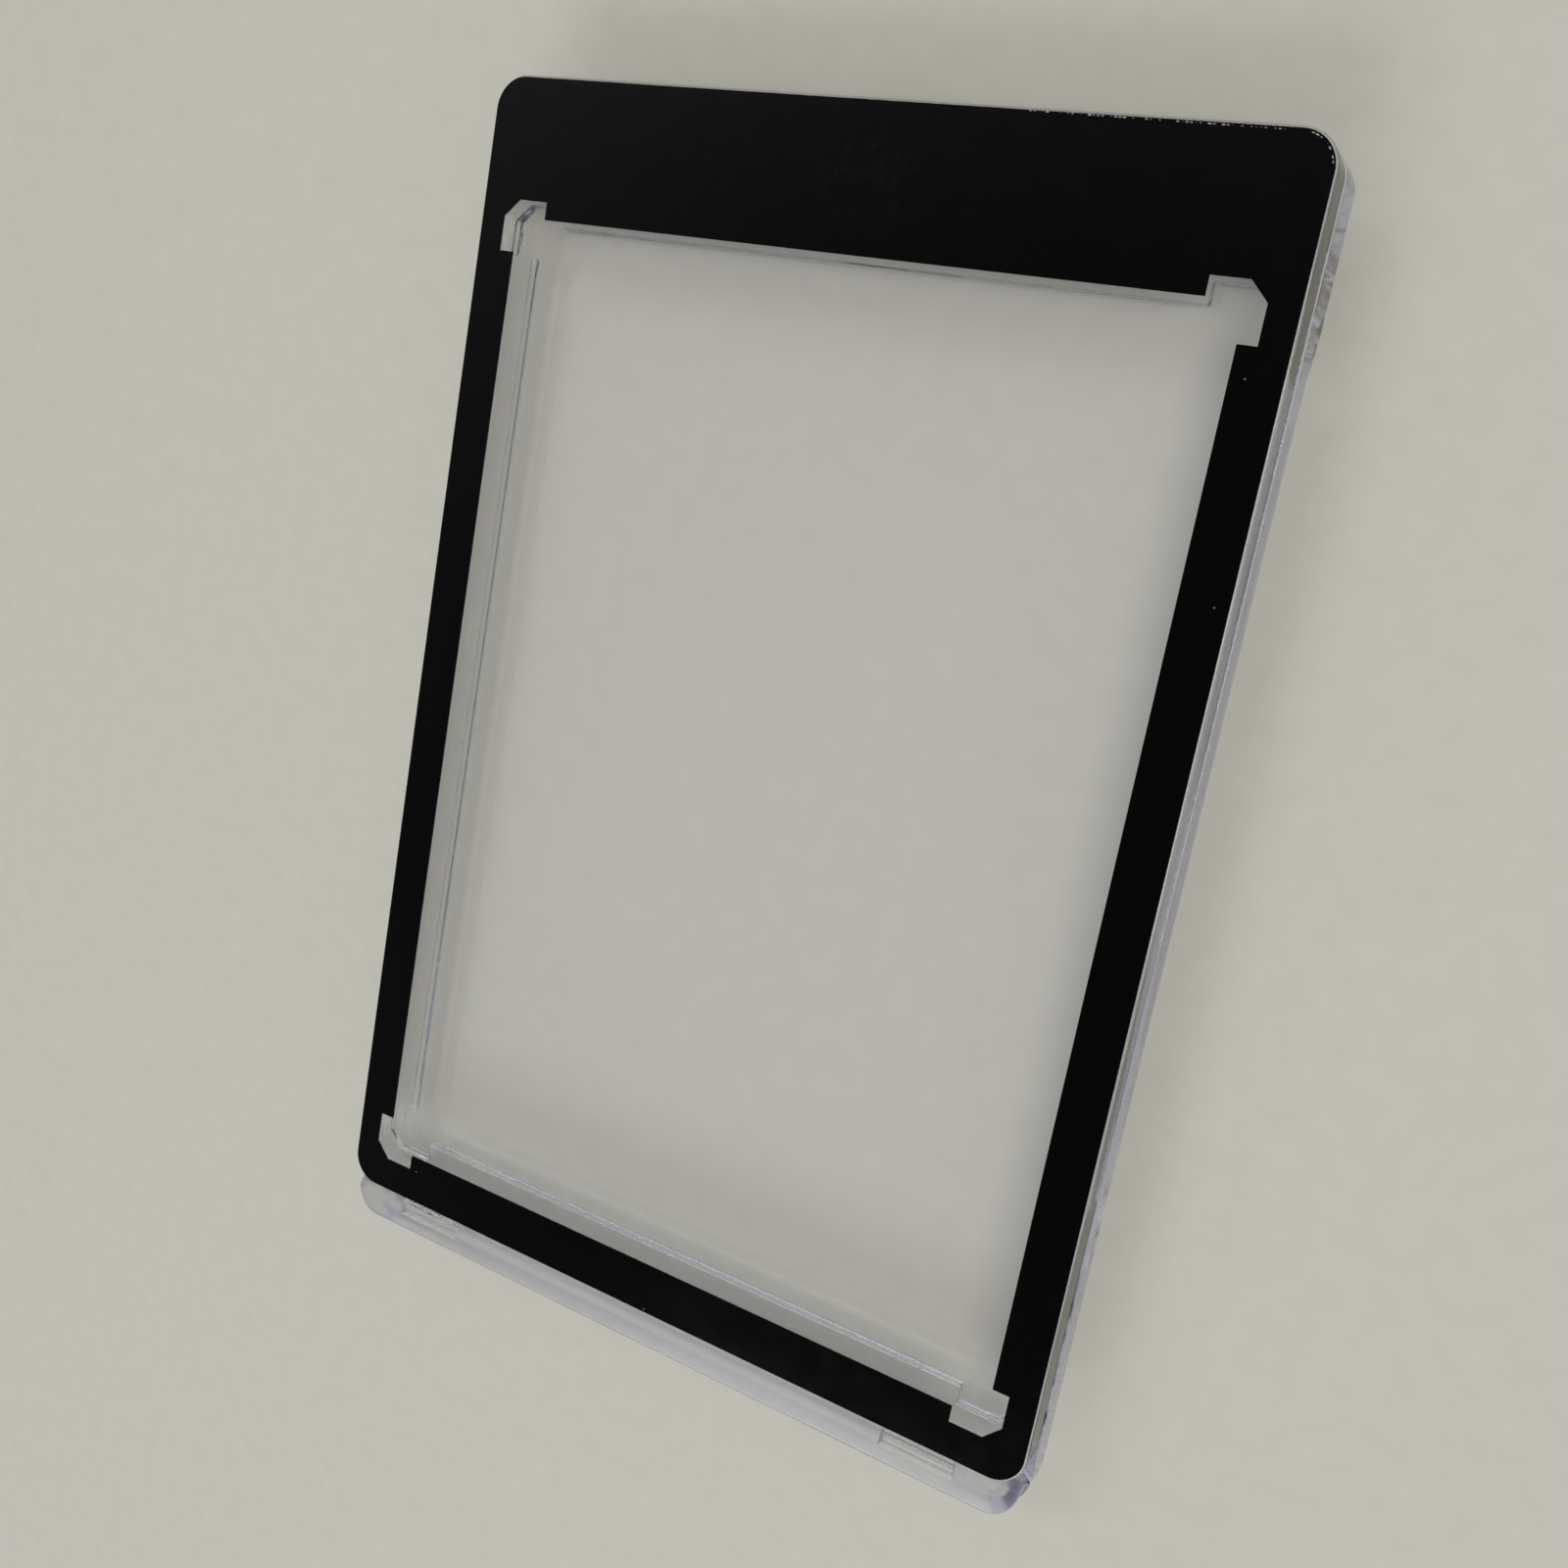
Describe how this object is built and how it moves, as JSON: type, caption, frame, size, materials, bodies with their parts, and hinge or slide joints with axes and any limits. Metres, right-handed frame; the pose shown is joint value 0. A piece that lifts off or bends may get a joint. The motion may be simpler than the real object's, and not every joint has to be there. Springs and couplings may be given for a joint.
{
  "type": "magnetic card holder",
  "caption": "Clear hinged case for a standard trading card, with a black border round its window and a magnetic closure.",
  "frame": {"origin": "middle of the back's footprint, on the plane that the back lies on", "axes": "+X across the face, +Y up the face from the hinge rail to the magnets, +Z out of the face"},
  "size_m": [0.0736, 0.1114, 0.0076],
  "materials": {
    "clear_rear": "clear polished moulding",
    "clear_front": "clear polished moulding",
    "black_ink": "gloss black layer",
    "magnet_nickel": "satin nickel plate"
  },
  "bodies": {
    "base": {"rear_shell": "clear_rear", "rear_magnet": "magnet_nickel"},
    "cover": {"front_cover": "clear_front", "black_border": "black_ink", "front_magnet": "magnet_nickel"}
  },
  "joints": [
    {"name": "cover_hinge", "type": "hinge", "parent": "base", "child": "cover", "pos_m": [0, -0.05353, 0.0051], "axis": [1, 0, 0], "range_deg": [0, 90]}
  ]
}
